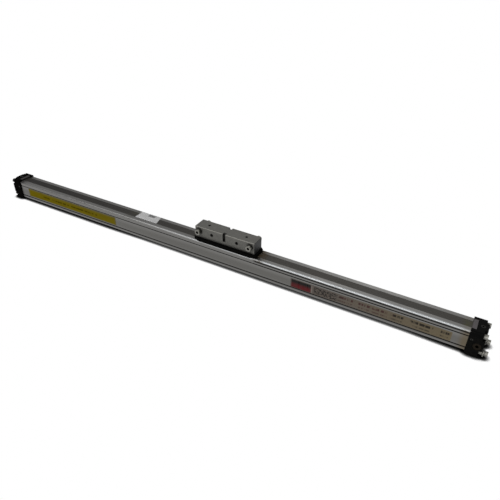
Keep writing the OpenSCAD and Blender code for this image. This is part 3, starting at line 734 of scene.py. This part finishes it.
def makeYellowFoil(s):
    tree, place, axes = startMaterial(s["finish"])
    wave = cloud(tree, place, **s["wave"])
    color = addMark(tree, axes, s["bare"], s["yellow"])
    color = addMark(tree, axes, color, s["waves"], wave)
    color = addMark(tree, axes, color, s["flecks"], cloud(tree, place, **s["fleck"]))
    color = addMark(tree, axes, color, s["row"], cloud(tree, place, **s["stroke"]))
    least, most = s["roughness"]
    rough = addNode(tree, "ShaderNodeMapRange", {"Value": wave, "To Min": least, "To Max": most})
    endMaterial(tree, {"Metallic": 1.0, "Specular Tint": s["tint"], "Base Color": color,
                       "Roughness": rough})


# Silver foil plate: brushed, tanned by age, with blank fields and one plain dark and red panel
plateSet = {
    "x": (203, 491), "z": (12.5, 31.5), "corner": 1.0, "finish": "agedSilverFoil",
    "color": "595350", "metallic": 0.85, "roughness": (0.34, 0.44),
    "brush": {"cell": (60, 0.5, 0.5), "detail": 2.0},
    "stain": {"cell": (34, 8, 8), "levels": (0.35, 0.7), "detail": 5.0, "rough": 0.6},
    "word": {"cell": (17, 60, 60), "levels": (0.38, 0.42), "detail": 0.0},
    "stroke": {"cell": (2.4, 30, 60), "levels": (0.38, 0.5), "detail": 1.0},
    "fine": {"cell": (3.0, 60, 1.7), "levels": (0.46, 0.54), "detail": 1.0},
    "brushed": {"color": "4E4946", "share": 1.0},
    "stained": {"color": "544A3D", "share": 0.5},
    # more tanned toward its right end, where the grease is
    "tanned": {"color": "635943", "share": 0.8, "x": (263, 491, far, far + 1)},
    # blank fields: two rows of dark bars, cut up into short strokes, redder on the left
    "ink": "100D0B",
    "redInk": {"color": "382120", "share": 1.0, "x": (293, 305, 387, 399)},
    "rows": [{"share": 0.9, "x": (295, 297, 487, 489), "z": (22.6, 23.4, 27.6, 28.4)},
             {"share": 0.585, "x": (295, 297, 487, 489), "z": (15.6, 16.4, 18.6, 19.4)}],
    # a close block of fine strokes beside the panel
    "block": {"color": "1A1816", "share": 0.9, "x": (249, 251, 294, 296),
              "z": (14, 15, 28.5, 29.5)},
    # the panel: dull red below, black with faint upright bars above, and a pale rule after it
    "red": "520C11",
    "black": {"color": "050505", "share": 1.0, "z": (18.5, 25.5, far, far + 1)},
    "bars": {"color": "3A3634", "share": 0.22},
    "panel": {"share": 1.0, "x": (204.6, 205.4, 243.6, 244.4), "z": (12.5, 13.3, 29.6, 30.4)},
    "rule": {"color": "6C655F", "share": 1.0, "x": (244.7, 245.3, 246.3, 246.9),
             "z": (13.1, 13.9, 30.1, 30.9)},
}


def makePlateFoil(s):
    tree, place, axes = startMaterial(s["finish"])
    stain = cloud(tree, place, **s["stain"])
    words = cloud(tree, place, **s["word"])
    strokes = cloud(tree, place, **s["stroke"])
    color = addMark(tree, axes, s["color"], s["brushed"], cloud(tree, place, **s["brush"]))
    color = addMark(tree, axes, color, s["stained"], stain)
    color = addMark(tree, axes, color, s["tanned"])
    ink = addMark(tree, axes, s["ink"], s["redInk"])
    for row in s["rows"]:
        color = addMark(tree, axes, color, dict(row, color=ink), words, strokes)
    color = addMark(tree, axes, color, s["block"], cloud(tree, place, **s["fine"]))
    panel = addMark(tree, axes, s["red"], s["black"])
    panel = addMark(tree, axes, panel, s["bars"], strokes)
    color = addMark(tree, axes, color, dict(s["panel"], color=panel))
    color = addMark(tree, axes, color, s["rule"])
    least, most = s["roughness"]
    rough = addNode(tree, "ShaderNodeMapRange", {"Value": stain, "To Min": least, "To Max": most})
    endMaterial(tree, {"Metallic": s["metallic"], "Base Color": color, "Roughness": rough})


# White paper tag: matt, slightly soiled, with one grey rubbed spot
tagSet = {
    "x": (-173, -116), "y": (-8, 16.5), "corner": 0.8, "finish": "whitePaper",
    "askew": 6,    # mm that its rear right corner lies farther left, as it is stuck on crooked
    "color": "ACACAC", "roughness": 0.7, "sheen": 0.3,
    "soil": {"cell": (12, 9, 9), "levels": (0.4, 0.75), "detail": 5.0, "rough": 0.6},
    "rub": {"cell": (1.6, 1.6, 1.6), "levels": (0.3, 0.5)},
    "fibre": {"cell": (0.6, 0.6, 0.6), "levels": (0.3, 0.7), "detail": 2.0},
    "bump": {"Strength": 0.2, "Distance": 0.03 * mm},
    "soiled": {"color": "959491", "share": 0.4},
    "spot": {"color": "262628", "share": 0.9, "x": (-152.5, -149.5, -135.5, -132.5),
             "y": (6.3, 8.7, 13.8, 16.2)},
}


def makePaper(s):
    tree, place, axes = startMaterial(s["finish"])
    color = addMark(tree, axes, s["color"], s["soiled"], cloud(tree, place, **s["soil"]))
    color = addMark(tree, axes, color, s["spot"], cloud(tree, place, **s["rub"]))
    fibre = cloud(tree, place, **s["fibre"])
    bump = addNode(tree, "ShaderNodeBump", {"Height": fibre, **s["bump"]})
    endMaterial(tree, {"Roughness": s["roughness"], "Specular IOR Level": s["sheen"],
                       "Base Color": color, "Normal": bump})


# labels: laid on the tube, with rounded corners and a thickness that catches the light
labelSet = {"frontFoil": foilSet, "typePlate": plateSet, "paperTag": tagSet}
labelShape = {
    "thick": 0.12 * mm, "sunk": 0.02 * mm,    # sunk a little into the tube, so that no gap shows
    "cornerSteps": 4, "edge": 0.04 * mm, "edgeAngle": 60,
}
touch = 0.001 * mm    # as near as this, an edge belongs to a side of the label


def makeLabels():
    thick, sunk = labelShape["thick"], labelShape["sunk"]
    for name, s in labelSet.items():
        x0, x1 = (v * mm for v in s["x"])
        if "z" in s:    # on the front face
            low = (x0, tubeLow.y - thick, s["z"][0] * mm)
            high = (x1, tubeLow.y + sunk, s["z"][1] * mm)
            through = 1
        else:    # on the top
            low = (x0, s["y"][0] * mm, tubeHigh.z - sunk)
            high = (x1, s["y"][1] * mm, tubeHigh.z + thick)
            through = 2
        label = addBox(name, low, high)
        if "askew" in s:
            pickEdges(label, lambda a, b: (min(a.x, b.x) > x1 - touch
                                           and min(a.y, b.y) > high[1] - touch))
            bpy.ops.transform.translate(value=(-s["askew"] * mm, 0, 0))
        pickEdges(label, lambda a, b: abs(a[through] - b[through]) > thick / 2)
        bpy.ops.mesh.bevel(offset=s["corner"] * mm, segments=labelShape["cornerSteps"],
                           affect="EDGES")
        bpy.ops.object.mode_set(mode="OBJECT")
        bevelPiece(label, labelShape["edge"], labelShape["edgeAngle"])
        settle(label, s["finish"], "cylinder")


makeYellowFoil(foilSet)
makePlateFoil(plateSet)
makePaper(tagSet)
makeLabels()
print("labels made")
